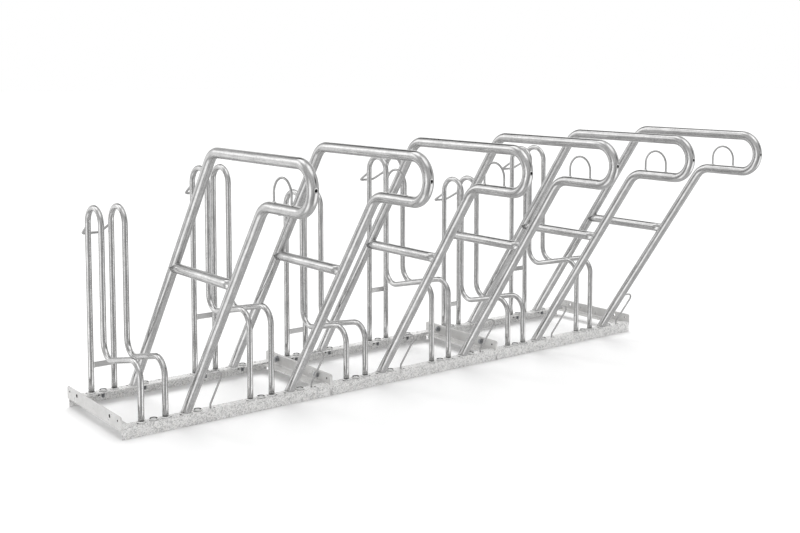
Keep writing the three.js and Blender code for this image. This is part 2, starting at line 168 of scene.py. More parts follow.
class RackTubeSizes(bpy.types.PropertyGroup):
    """Sizes of the wheel holders, hoops and rods"""

    holder_tube: length("Holder tube", "Diameter of a wheel holder's tube", 0.018)
    holder_inset: length("Holder inset", "From the start of a place to the first tube", 0.060)
    tyre_slot: length("Tyre slot", "Clear width between the two tubes", 0.056)
    holder_bend: length("Holder bend", "Radius of the two bends at the wheel rest", 0.050)
    holder_top: length("Holder top", "Radius of the bends at the top", 0.0505)
    low_height: length("Low height", "Height of a low wheel holder", 0.618)
    tall_raise: length("Tall raise", "How much higher a tall holder stands", 0.100)
    rest_height: length("Wheel rest height", "Height of the wheel rest at its rear", 0.156)
    rest_rise: length("Wheel rest rise", "How much higher it is at its front", 0.057)
    bar_height: length("Spacer bar height", "Height of the flat bar", 0.017)
    bar_thickness: length("Spacer bar thickness", "Thickness of the flat bar", 0.005)
    bar_level: length("Spacer bar level", "Height of its middle on a low holder", 0.121)
    lock_rod: length("Lock rod", "Diameter of the rod at a holder's back", 0.008)
    lock_below_top: length("Lock rod level", "From a holder's top down to the rod's ends", 0.065)
    lock_reach: length("Lock rod reach", "How far the rod stands out to the back", 0.068)
    lock_drop: length("Lock rod drop", "How far the rod falls to its rear", 0.036)
    lock_taper: length("Lock rod taper", "How far each rear corner lies in", 0.008)
    lock_bend: length("Lock rod bend", "Radius of its two bends", 0.014)
    hoop_tube: length("Hoop tube", "Diameter of a hoop's tube", 0.030)
    hoop_inset: length("Hoop inset", "From the start of a place to the hoop's plane", 0.207)
    hoop_foot_inset: length("Hoop foot inset", "From the outer face of a rail to the hoop's foot", 0.0002)
    hoop_lean: angle("Hoop lean", "Slant of the hoop's legs above the ground", 55.0)
    hoop_height: length("Hoop height", "Height of the hoop's top", 0.814)
    hoop_reach: length("Hoop reach", "From the front of the base to the nose", 0.671)
    nose_radius: length("Nose radius", "Radius of the two bends at the nose", 0.060)
    hoop_bend: length("Hoop bend", "Radius of the bends at the legs' tops", 0.060)
    vent_hole: length("Vent hole", "Diameter of the hole in the nose", 0.008)
    crossbar_level: length("Crossbar level", "Height of the crossbar's middle", 0.450)
    eye_rod: length("Eye rod", "Diameter of the eye's rod", 0.006)
    eye_width: length("Eye width", "Width of the eye over its rod", 0.088)
    eye_height: length("Eye height", "Height of the eye above the tube", 0.067)
    eye_from_tip: length("Eye place", "From the nose's tip to the eye's middle", 0.150)
    foot_rod: length("Foot rod", "Diameter of the rod beside a hoop's foot", 0.006)
    foot_rod_offset: length("Foot rod offset", "From the hoop's plane to the rod's foot", 0.074)
    foot_rod_height: length("Foot rod height", "Where the rod meets the hoop's leg", 0.171)
    foot_rod_upright: length("Foot rod upright", "Height of its upright part", 0.014)
    foot_rod_knee: length("Foot rod knee", "Radius of its bend at the foot", 0.012)
    foot_rod_top: length("Foot rod top", "Radius of its bend at the top", 0.035)


class RackJointSizes(bpy.types.PropertyGroup):
    """Sizes of the bolts and of the weld beads"""

    bolt: length("Bolt", "Diameter of a bolt", 0.010)
    across_flats: length("Across flats", "Width of the bolt head and the nut", 0.017)
    head_height: length("Head height", "Height of the bolt head", 0.0064)
    nut_height: length("Nut height", "Height of the nut", 0.008)
    tail: length("Bolt tail", "Thread past the nut", 0.005)
    thread_pitch: length("Thread pitch", "Pitch of the thread", 0.0015)
    foot_bead: length("Foot bead", "Radius of the weld beads at the tubes' feet", 0.0032)
    tube_bead: length("Tube bead", "Radius of the weld beads at the crossbars", 0.0011)
    rod_bead: length("Rod bead", "Radius of the weld beads at the rods", 0.0019)


class RackFinish(bpy.types.PropertyGroup):
    """Colours of the zinc, and of the painted shade in holes and dark lines"""

    tube: colour("Tubes", "Zinc on the tubes", (0.64, 0.638, 0.636))
    rod: colour("Rods", "Zinc on the rods and the flat bars", (0.53, 0.528, 0.526))
    angle: colour("Rails", "Zinc on the rails", (0.90, 0.895, 0.885))
    plate: colour("Plates", "Zinc on the end angles", (0.67, 0.665, 0.655))
    weld: colour("Welds", "Zinc over the weld beads", (0.97, 0.97, 0.96))
    bolt: colour("Bolts", "Zinc plating of the bolts", (0.36, 0.37, 0.385))
    # Painted shade: near-black colour for the insides of holes and the vent, and for the dark lines and rings
    # on rails
    bore: colour("Painted shade", "Shaded insides of tubes and small holes", (0.03, 0.03, 0.03))
    dark: share("Dark spangle", "How dark the darkest zinc crystals are", 0.60)


class RackStudio(bpy.types.PropertyGroup):
    """Floor, light and camera"""

    floor: colour("Floor", "Colour of the floor", (0.95, 0.95, 0.95))
    glow: share("Floor glow", "Light of the floor's own, which keeps it white far away", 0.07)
    sky: share("Sky", "Even light from all round", 0.64)
    sun: number("Soft box", "Strength of the wide light overhead", 1.7)
    sun_width: angle("Soft box width", "How wide the light overhead looks", 60.0)
    fill: number("Fill", "Strength of the weak light from the left", 0.4)
    fill_width: angle("Fill width", "How wide the light from the left looks", 70.0)
    room: share("Room", "Even brightness of the room that the metal mirrors", 0.70)
    contrast: share("Panels", "How much the light and dark panels of the room count", 1.0)
    place: bpy.props.FloatVectorProperty(
        name="Camera",
        description="Place of the camera",
        default=(-2.2768, -2.7404, 1.0314),
        subtype="TRANSLATION",
    )
    heading: angle("Heading", "Camera's turn from the rack's depth towards its right", 37.61)
    tilt: angle("Tilt", "How far the camera looks down", 4.54)
    lens: number("Lens", "Focal length in mm", 50.30, unit="CAMERA")
    shift: number("Shift", "Upright shift of the lens", -0.14)


# Soft panels of the room that the metal mirrors. Heading from the rack's depth towards its right and height
# above the horizon, half width, all in degrees, and how much brighter or darker than the room.
PANELS = (
    ("soft box behind the left end", -35, 22, 22, 1.12),
    ("ceiling light", -20, 60, 26, 1.25),
    ("white wall behind", 45, 8, 30, 0.35),
    ("black flag behind", 16, 43, 20, -0.70),
    ("bright floor behind", -22, -10, 32, 0.45),
    ("shaded floor at the left", -43, -40, 19, -0.03),
    ("white wall at the left", -97, -7, 28, 1.15),
    ("dark room behind the camera", -180, -25, 44, -0.28),
    ("white floor at the front left", -85, -44, 24, 0.94),
    ("white floor in front", -171, -68, 15, 0.05),
    ("white floor at the right", 142, -27, 34, 1.18),
    ("soft box over the front", 165, 72, 32, 1.20),
    ("black flag at the right", 140, 24, 18, -0.60),
)

# Lines and meshes


def in_plane(y, z):
    """A point of a piece that lies in its own plane X = 0."""
    return Vector((0, y, z))


def bent_line(corners, radii, step=math.radians(6)):
    """Points and directions along straight runs with round bends, as (point, direction)."""
    line = [(corners[0], (corners[1] - corners[0]).normalized())]
    for before, corner, after, radius in zip(corners, corners[1:], corners[2:], radii):
        inward, outward = (corner - before).normalized(), (after - corner).normalized()
        turn = inward.angle(outward)
        axis = inward.cross(outward).normalized()
        start = corner - inward * radius * math.tan(turn / 2)
        centre = start + axis.cross(inward) * radius
        steps = max(1, round(turn / step))
        for i in range(steps + 1):
            spin = Matrix.Rotation(turn * i / steps, 3, axis)
            line.append((centre + spin @ (start - centre), spin @ inward))
    line.append((corners[-1], (corners[-1] - corners[-2]).normalized()))
    kept = [line[0]]
    for point, direction in line[1:]:
        if (point - kept[-1][0]).length > SAME_POINT:
            kept.append((point, direction))
    return kept


def divided(line, longest):
    """The same line with no run longer than the given length."""
    out = [line[0]]
    for (a, _), (b, direction) in zip(line, line[1:]):
        parts = max(1, math.ceil((b - a).length / longest))
        out += [(a.lerp(b, i / parts), (b - a).normalized()) for i in range(1, parts)]
        out.append((b, direction))
    return out


def frames_along(line):
    """Two crosswise directions for each station, carried along without twist."""
    aside = line[0][1].orthogonal().normalized()
    out = []
    for (_, before), (_, direction) in zip([line[0], *line], line):
        aside = before.rotation_difference(direction) @ aside
        aside = (aside - direction * aside.dot(direction)).normalized()
        out.append((aside, direction.cross(aside)))
    return out


def arc(x, y, radius, start, end, steps=5):
    """Points (x, y) along an arc between two angles in degrees."""
    turns = [math.radians(start + (end - start) * i / steps) for i in range(steps + 1)]
    return [(x + radius * math.cos(turn), y + radius * math.sin(turn)) for turn in turns]


def ring_points(centre, aside, up, count):
    """Points round an ellipse whose half axes are the two given vectors."""
    turns = [2 * math.pi * i / count for i in range(count)]
    return [centre + aside * math.cos(turn) + up * math.sin(turn) for turn in turns]


def loop(mesh, points):
    """New vertices of a bmesh, one at each point."""
    return [mesh.verts.new(point) for point in points]


def skin(mesh, rings, material=0, smooth=True, closed=False):
    """Joins rings of vertices with faces. The ends are closed, or the last ring meets the first."""
    pairs, count = list(zip(rings, rings[1:])), len(rings[0])
    if closed:
        pairs.append((rings[-1], rings[0]))
    else:
        for ring in (rings[0][::-1], rings[-1]):
            mesh.faces.new(ring).material_index = material
    for low, high in pairs:
        for k in range(count):
            face = mesh.faces.new((low[k], low[(k + 1) % count], high[(k + 1) % count], high[k]))
            face.material_index, face.smooth = material, smooth


def sweep(mesh, line, radius, sides):
    """Adds a round bar along a line to a bmesh. Each vertex keeps its place on the straightened bar."""
    layers = mesh.verts.layers.float_vector
    straight = layers.get("straightened") or layers.new("straightened")
    rings, run = [], 0.0
    for i, ((point, _), (aside, up)) in enumerate(zip(line, frames_along(line))):
        if i:
            run += (point - line[i - 1][0]).length
        ring = loop(mesh, ring_points(point, aside * radius, up * radius, sides))
        for vertex, place in zip(ring, ring_points(X_AXIS * run, Y_AXIS * radius, Z_AXIS * radius, sides)):
            vertex[straight] = place
        rings.append(ring)
    skin(mesh, rings)


def bead(mesh, points, radius, seed, material=1, sides=8, closed=True):
    """Adds a weld bead along a line of points, with the ripples of its passes."""
    rng = random.Random(seed)
    phase, count = rng.uniform(0, 10), len(points)
    rings = []
    for i, point in enumerate(points):
        if closed:
            direction = points[(i + 1) % count] - points[i - 1]
        else:
            direction = points[min(i + 1, count - 1)] - points[max(i - 1, 0)]
        direction = direction.normalized()
        aside = direction.cross(ASKEW).normalized()
        up = direction.cross(aside)
        place = Vector((phase + point.x * LUMPS, point.y * LUMPS, point.z * LUMPS))
        swell = radius * (1 + LUMP_SWELL * noise.noise(place) + WAVE_SWELL * math.sin(i * WAVE_STEP + phase))
        if not closed:
            swell *= math.sqrt(max(THIN_END, 1 - (2 * i / (count - 1) - 1) ** 4))
        rings.append(loop(mesh, ring_points(point, aside * swell, up * swell, sides)))
    skin(mesh, rings, material, closed=closed)


def collar(mesh, seat, aside, up, radius, seed, count=ROD_BEAD_POINTS, sides=6):
    """Adds a weld bead round the foot of a bar, along an ellipse with the given half axes."""
    bead(mesh, ring_points(seat, aside, up, count), radius, seed, 1, sides)


def turned(mesh, profile, place, sides, material=0, smooth=True, closed=False, axes=(X_AXIS, Y_AXIS, Z_AXIS)):
    """Adds a solid turned round the last axis. Its profile lists (radius, height), and may be closed."""
    aside, up, along = axes
    rings = [loop(mesh, ring_points(place + along * z, aside * r, up * r, sides)) for r, z in profile]
    skin(mesh, rings, material, smooth, closed)


def thread(radius, start, end, pitch):
    """Part of a profile for turned(): the turns of a thread, from its start down to its end."""
    profile = []
    while start > end:
        profile += [(radius * THREAD_ROOT, start), (radius, start - pitch / 2)]
        start -= pitch
    return profile


def painted_shade_line(mesh, place, half_x, half_y, material):
    """Adds a thin line of painted contact shade round what stands on a rail: a flat ellipse just proud of the
    rail.
    """
    aside, up = X_AXIS * half_x, Y_AXIS * half_y
    faces = (place + Z_AXIS * LINE_LOW, place + Z_AXIS * LINE_HIGH)
    skin(mesh, [loop(mesh, ring_points(at, aside, up, HEAD_SIDES)) for at in faces], material, False)


def angle_profile(base, leg, thickness):
    """Outline of an angle with its heel at the origin and its legs along +X and +Y, counter-clockwise."""
    toe, heel, inner = base.toe_radius, base.heel_radius, thickness + base.rail_root
    return [
        *arc(heel, heel, heel, 180, 270),
        *arc(leg - heel, heel, heel, 270, 360),
        *arc(leg - toe, thickness - toe, toe, 0, 90),
        *arc(inner, inner, base.rail_root, 270, 180),
        *arc(thickness - toe, leg - toe, toe, 0, 90),
        *arc(heel, leg - heel, heel, 90, 180),
    ]


def as_data(mesh, name):
    """Ends a bmesh as mesh data."""
    data = bpy.data.meshes.new(name)
    mesh.to_mesh(data)
    mesh.free()
    return data


def closed_data(mesh, name):
    """The same for closed surfaces, with their faces turned outwards."""
    bmesh.ops.recalc_face_normals(mesh, faces=mesh.faces)
    return as_data(mesh, name)


def pushed(name, outline, depth, to_point):
    """Closed mesh data of an outline pushed over a depth. to_point(x, y, d) places its corners."""
    mesh = bmesh.new()
    rings = [loop(mesh, [to_point(x, y, d) for x, y in outline]) for d in (0.0, depth)]
    skin(mesh, rings, 0, False)
    return closed_data(mesh, name)


def linked(name, data):
    """A new object in the scene."""
    thing = bpy.data.objects.new(name, data)
    bpy.context.scene.collection.objects.link(thing)
    return thing


def cut(data, cutter):
    """Cuts one closed mesh out of another."""
    body, tool = linked("body", data), linked("tool", cutter)
    step = body.modifiers.new("cut", "BOOLEAN")
    step.operation, step.solver, step.object = "DIFFERENCE", "EXACT", tool
    made = bpy.data.meshes.new_from_object(body.evaluated_get(bpy.context.evaluated_depsgraph_get()))
    for thing in (body, tool):
        bpy.data.objects.remove(thing)
    return made


def drills(holes, axis, low, high):
    """A mesh of drills along one axis: holes lists (centre, diameter)."""
    mesh = bmesh.new()
    spin = Z_AXIS.rotation_difference(axis).to_matrix().to_4x4()
    for centre, diameter in holes:
        place = Matrix.Translation(centre + axis * (low + high) / 2) @ spin
        size = {"radius1": diameter / 2, "radius2": diameter / 2, "depth": high - low}
        bmesh.ops.create_cone(mesh, cap_ends=True, segments=DRILL_SIDES, matrix=place, **size)
    return as_data(mesh, "drills")


def paint_hole_shade(data, holes, axis, material):
    """Gives the walls and floors of holes along an axis another material, the painted shade: holes lists
    (centre, diameter).
    """
    for face in data.polygons:
        for centre, diameter in holes:
            off = Vector(face.center) - centre
            if (off - axis * off.dot(axis)).length < diameter * HOLE_EDGE and face.area < diameter**2:
                face.material_index = material


def add_piece(name, data, place, nodes, materials, seed=0):
    """Links a piece at a place in the rack, on the rack's body, in the place of its CAD nodes."""
    data = data.copy()
    data.name = name
    data.transform(Matrix.Translation(CORNER + place))
    straight = data.attributes.get("straightened")
    if straight:
        # Each bar shows its own stretch of the zinc
        rng = random.Random(seed)
        move = Vector((rng.uniform(0, 9), rng.uniform(0, 9), rng.uniform(0, 9)))
        for item in straight.data:
            item.vector = Vector(item.vector) + move
    for material in materials:
        data.materials.append(material)
    piece = linked(name, data)
    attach(piece, "root")
    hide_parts(*nodes)


def add_bar(mesh, name, x, node, seed, kinds=("rod", "weld")):
    """Ends a bmesh of closed surfaces as a piece, moved along the rack."""
    add_piece(name, closed_data(mesh, node), X_AXIS * x, [node], zinc(*kinds), seed)


# Effects that several finishes share


def feed(tree, node, inputs):
    """Gives each socket of a node its value, or links it to the output that feeds it."""
    for socket, value in inputs.items():
        if isinstance(value, bpy.types.NodeSocket):
            tree.links.new(value, node.inputs[socket])
        else:
            node.inputs[socket].default_value = value


def add_node(tree, kind, inputs, **options):
    """Adds a shader node with its options and inputs."""
    node = tree.nodes.new(f"ShaderNode{kind}")
    for option, value in options.items():
        setattr(node, option, value)
    feed(tree, node, inputs)
    return node


def maths(tree, operation, first, second):
    return add_node(tree, "Math", {0: first, 1: second}, operation=operation).outputs[0]


def weighted(tree, *parts):
    """Sum of (value, weight) parts, without those of no weight."""
    total = None
    for value, weight in parts:
        if weight:
            part = maths(tree, "MULTIPLY", value, weight)
            total = part if total is None else maths(tree, "ADD", total, part)
    return total


def ramp(tree, value, low, high, to_low=0.0, to_high=1.0):
    ends = {"From Min": low, "From Max": high, "To Min": to_low, "To Max": to_high}
    return add_node(tree, "MapRange", {"Value": value, **ends}).outputs["Result"]


def noise_node(tree, vector, scale, detail, rough):
    inputs = {"Vector": vector, "Scale": scale, "Detail": detail, "Roughness": rough}
    return add_node(tree, "TexNoise", inputs).outputs


def new_group(name, socket, default, outputs):
    """A node group of a vector and a number, its two inputs, and the node that takes its outputs."""
    group = bpy.data.node_groups.new(name, "ShaderNodeTree")
    group.interface.new_socket("Vector", in_out="INPUT", socket_type="NodeSocketVector")
    group.interface.new_socket(socket, in_out="INPUT", socket_type="NodeSocketFloat").default_value = default
    for output in outputs:
        group.interface.new_socket(output, in_out="OUTPUT", socket_type="NodeSocketFloat")
    given = group.nodes.new("NodeGroupInput").outputs
    return group, given["Vector"], given[socket], group.nodes.new("NodeGroupOutput")


def spangle_group():
    """Zinc crystals: flat grains of two sizes with ragged borders, each of its own shade."""
    name, outputs = "Zinc spangle", ("Shade", "Fine", "Height")
    group, vector, grains, out = new_group(name, "Grains per metre", 110.0, outputs)
    bend = {0: noise_node(group, vector, 260.0, 3.0, 0.6)["Color"], 1: (0.011, 0.011, 0.011), 2: vector}
    bent = add_node(group, "VectorMath", bend, operation="MULTIPLY_ADD").outputs[0]
    shades = []
    for finer in (1.0, 2.3):
        cells = {"Vector": bent, "Scale": maths(group, "MULTIPLY", grains, finer)}
        colour_of_cell = add_node(group, "TexVoronoi", cells).outputs["Color"]
        shades.append(add_node(group, "SeparateColor", {0: colour_of_cell}).outputs[0])
    fine = noise_node(group, vector, 900.0, 4.0, 0.7)["Fac"]
    both = weighted(group, (shades[0], 0.6), (shades[1], 0.4))
    height = weighted(group, (both, 0.5), (fine, 0.5))
    feed(group, out, {"Shade": both, "Fine": ramp(group, fine, 0.3, 0.7), "Height": height})
    return group


def streak_group():
    """Runs of zinc along a tube: long thin streaks, and wide soft clouds."""
    group, vector, fineness, out = new_group("Zinc runs", "Fineness", 1.0, ("Streak", "Cloud", "Height"))
    stretch = {0: vector, 1: (0.045, 1.0, 1.0)}
    stretched = add_node(group, "VectorMath", stretch, operation="MULTIPLY").outputs[0]
    streak = noise_node(group, stretched, maths(group, "MULTIPLY", fineness, 420.0), 4.0, 0.62)["Fac"]
    cloud = noise_node(group, vector, 34.0, 3.0, 0.6)["Fac"]
    height = weighted(group, (streak, 0.7), (cloud, 0.3))
    masks = {"Streak": ramp(group, streak, 0.32, 0.68), "Cloud": ramp(group, cloud, 0.35, 0.65)}
    feed(group, out, {**masks, "Height": height})
    return group


GROUP_MAKERS = {"Zinc spangle": spangle_group, "Zinc runs": streak_group}


def effect(tree, name, vector, socket, value):
    """Outputs of one use of a shared effect, which is built the first time that it is asked for."""
    group = bpy.data.node_groups.get(name) or GROUP_MAKERS[name]()
    return add_node(tree, "Group", {"Vector": vector, socket: value}, node_tree=group).outputs


def bare_material(name):
    material = bpy.data.materials.new(name)
    material.use_nodes = True
    return material, material.node_tree, material.node_tree.nodes["Principled BSDF"]


# How each kind of zinc looks: whether its runs follow the bar, crystals to the metre, fineness of the runs,
# weights of streaks, clouds, crystals and fine specks, the part of their sum that goes from dark to light, the
# share of the colour left where it is darkest (None for the user's share), roughness where it is light and
# where it is dark, metallic, and the depth in metres and the strength of its relief.
RUNS = (0.4, 0.15, 0.25, 0.2)
ZINC = {
    "tube": (True, 260, 1.0, RUNS, (0.2, 0.75), None, (0.10, 0.22), 1.0, 0.00022, 0.35),
    "rod": (True, 400, 2.0, RUNS, (0.2, 0.75), None, (0.20, 0.36), 1.0, 0.0002, 0.35),
    "angle": (False, 290, 0.5, (0, 0.1, 0.8, 0.1), (0.26, 0.58), 0.55, (0.42, 0.60), 0.10, 0.0004, 0.45),
    "plate": (False, 70, 0.5, (0, 0.6, 0.2, 0.2), (0.1, 0.9), 0.88, (0.26, 0.38), 0.35, 0.00015, 0.2),
    "weld": (False, 420, 1.0, (0, 0, 0.3, 0.7), (0.2, 0.8), 0.75, (0.30, 0.45), 0.15, 0.0006, 0.5),
    "bolt": (False, 900, 1.0, (0, 0, 0.3, 0.7), (0.0, 1.0), 0.75, (0.26, 0.42), 1.0, 0.0001, 0.3),
    # Painted shade, not zinc: near black, for the insides of holes and the dark lines on rails
    "bore": (False, 300, 1.0, (0, 0, 0.3, 0.7), (0.0, 1.0), 0.85, (0.7, 0.9), 0.0, 0.0001, 0.3),
}


def new_zinc(kind):
    """The material of one kind of zinc, or of the painted shade."""
    along, crystals, fine, weights, span, left, (smooth, rough), metallic, relief, strength = ZINC[kind]
    finish = bpy.context.scene.rack_finish
    base, dark = tuple(getattr(finish, kind)), left or finish.dark
    material, tree, shader = bare_material(f"zinc on {kind}")
    if along:
        place = add_node(tree, "Attribute", {}, attribute_name="straightened").outputs["Vector"]
    else:
        place = add_node(tree, "TexCoord", {}).outputs["Object"]
    runs = effect(tree, "Zinc runs", place, "Fineness", fine)
    grains = effect(tree, "Zinc spangle", place, "Grains per metre", crystals)
    parts = runs["Streak"], runs["Cloud"], grains["Shade"], grains["Fine"]
    shade = weighted(tree, *zip(parts, weights))
    darkest = tuple(channel * dark for channel in base)
    tint = {"Factor": ramp(tree, shade, *span), "A": (*darkest, 1.0), "B": (*base, 1.0)}
    height = (runs if along else grains)["Height"]
    bump = {"Height": height, "Distance": relief, "Strength": strength}
    surface = {
        "Base Color": add_node(tree, "Mix", tint, data_type="RGBA").outputs["Result"],
        "Roughness": ramp(tree, shade, 0.1, 0.9, rough, smooth),
        "Metallic": metallic,
        "Normal": add_node(tree, "Bump", bump).outputs["Normal"],
    }
    feed(tree, shader, surface)
    return material


def zinc(*kinds):
    """The materials of some kinds of zinc and of the painted shade, each made the first time that it is asked
    for.
    """
    return [bpy.data.materials.get(f"zinc on {kind}") or new_zinc(kind) for kind in kinds]


# What several operators ask for


def settings(context):
    """The rack's sizes: of its base, of its tubes and rods, and of its joints."""
    return context.scene.rack_base, context.scene.rack_tubes, context.scene.rack_joints


def places():
    """Each wheel place as (number, X of its start, how much its holder is raised)."""
    base, sizes, _ = settings(bpy.context)
    for i in range(PLACES):
        tall = i % PLACES_PER_MODULE == 1
        yield i + 1, i * base.place_pitch, sizes.tall_raise if tall else 0.0


def end_angle_low(base):
    """Height of the lower edge of the end angles, whose flat legs lie under the rails' flanges."""
    return base.rail_leg - base.rail_thickness - CLEARANCE - base.end_thickness


class HoopShape:
    """Places on a hoop, in its own plane X = 0."""

    def __init__(self, base, sizes):
        self.base, self.sizes = base, sizes
        self.slope = math.tan(sizes.hoop_lean)
        self.radius = sizes.hoop_tube / 2
        self.foot = sizes.hoop_foot_inset + self.radius / math.sin(sizes.hoop_lean)
        self.top = sizes.hoop_height - self.radius
        self.lower = self.top - 2 * sizes.nose_radius
        self.nose = self.radius - sizes.hoop_reach

    def leg(self, foot, z):
        return in_plane(foot - (z - self.base.rail_leg) / self.slope, z)

    def back_leg(self, z):
        return self.leg(self.base.depth - self.foot, z)

    def front_leg(self, z):
        return self.leg(self.foot, z)

    def line(self):
        sunk = self.base.rail_leg - self.sizes.hoop_tube
        corners = [
            self.back_leg(sunk),
            self.back_leg(self.top),
            in_plane(self.nose, self.top),
            in_plane(self.nose, self.lower),
            self.front_leg(self.lower),
            self.front_leg(sunk),
        ]
        bend, nose = self.sizes.hoop_bend, self.sizes.nose_radius
        return divided(bent_line(corners, [bend, nose, nose, bend], FINE_STEP), TUBE_RUN)


# Operators. The seeds of the welds and of the pieces are any numbers that differ from each other.


class RACK_OT_stage(bpy.types.Operator):
    """Set up the floor, the light and the camera"""

    bl_idname = "rack.stage"
    bl_label = "Floor, light and camera"

    def execute(self, context):
        studio = context.scene.rack_studio
        self.camera(context, studio)
        self.floor(studio)
        self.world(context, studio)
        self.lamps(studio)
        context.scene.view_settings.view_transform = "Standard"
        return {"FINISHED"}

    def camera(self, context, studio):
        data = bpy.data.cameras.new("camera")
        data.lens, data.sensor_width, data.shift_y = studio.lens, SENSOR_WIDTH, studio.shift
        camera = linked("camera", data)
        camera.location = studio.place
        camera.rotation_euler = (math.pi / 2 - studio.tilt, 0.0, -studio.heading)
        context.scene.camera = camera

    def surface(self, tree, seen, lit, output):
        """Ends a tree with what the camera, metal and glass see, and what lights the rest."""
        rays = add_node(tree, "LightPath", {}).outputs
        sight = rays["Is Camera Ray"]
        for ray in ("Is Glossy Ray", "Is Transmission Ray"):
            sight = maths(tree, "MAXIMUM", sight, rays[ray])
        mix = add_node(tree, "MixShader", {0: sight, 1: lit.outputs[0], 2: seen.outputs[0]})
        feed(tree, tree.nodes[output], {"Surface": mix.outputs[0]})

    def floor(self, studio):
        mesh = bmesh.new()
        bmesh.ops.create_grid(mesh, x_segments=2, y_segments=2, size=FLOOR_HALF)
        floor = linked("floor", as_data(mesh, "floor"))
        floor.location.z = -FLOOR_DROP
        floor.visible_glossy = False
        material, tree, matt = bare_material("pale floor")
        feed(tree, matt, {"Base Color": (*studio.floor, 1.0), "Roughness": 0.9, "Specular IOR Level": 0.0})
        glow = add_node(tree, "Emission", {"Strength": studio.glow})
        both = add_node(tree, "AddShader", {0: matt.outputs[0], 1: glow.outputs[0]})
        self.surface(tree, both, matt, "Material Output")
        floor.data.materials.append(material)

    def world(self, context, studio):
        world = bpy.data.worlds.new("studio")
        world.use_nodes = True
        tree = world.node_tree
        lit = tree.nodes["Background"]
        feed(tree, lit, {"Color": WHITE, "Strength": studio.sky})
        seen = add_node(tree, "Background", {"Color": WHITE, "Strength": self.mirrored(tree, studio)})
        self.surface(tree, seen, lit, "World Output")
        context.scene.world = world

    def mirrored(self, tree, studio):
        """Strength of the background: white for the camera, and for metal a room with soft panels."""
        way = add_node(tree, "TexCoord", {}).outputs["Generated"]
        room = studio.room
        for _, heading, height, width, gain in PANELS:
            turn, rise = math.radians(heading), math.radians(height)
            middle = math.sin(turn) * math.cos(rise), math.cos(turn) * math.cos(rise), math.sin(rise)
            near = add_node(tree, "VectorMath", {0: way, 1: middle}, operation="DOT_PRODUCT").outputs["Value"]
            part = ramp(tree, near, math.cos(math.radians(width)), 1.0, 0.0, gain * studio.contrast)
            part.node.interpolation_type = "SMOOTHSTEP"
            room = maths(tree, "ADD", room, part)
        glossy = add_node(tree, "LightPath", {}).outputs["Is Glossy Ray"]
        return add_node(tree, "Mix", {"Factor": glossy, "A": 1.0, "B": room}).outputs["Result"]

    def lamps(self, studio):
        """A wide light from above and behind, and a weak one from the left. Metal mirrors the panels."""
        for name, energy, width, way in (
            ("soft box", studio.sun, studio.sun_width, SOFT_BOX_WAY),
            ("fill", studio.fill, studio.fill_width, FILL_WAY),
        ):
            data = bpy.data.lights.new(name, "SUN")
            data.energy, data.angle = energy, width
            lamp = linked(name, data)
            lamp.rotation_euler = way.to_track_quat("-Z", "Y").to_euler()
            lamp.visible_glossy = False


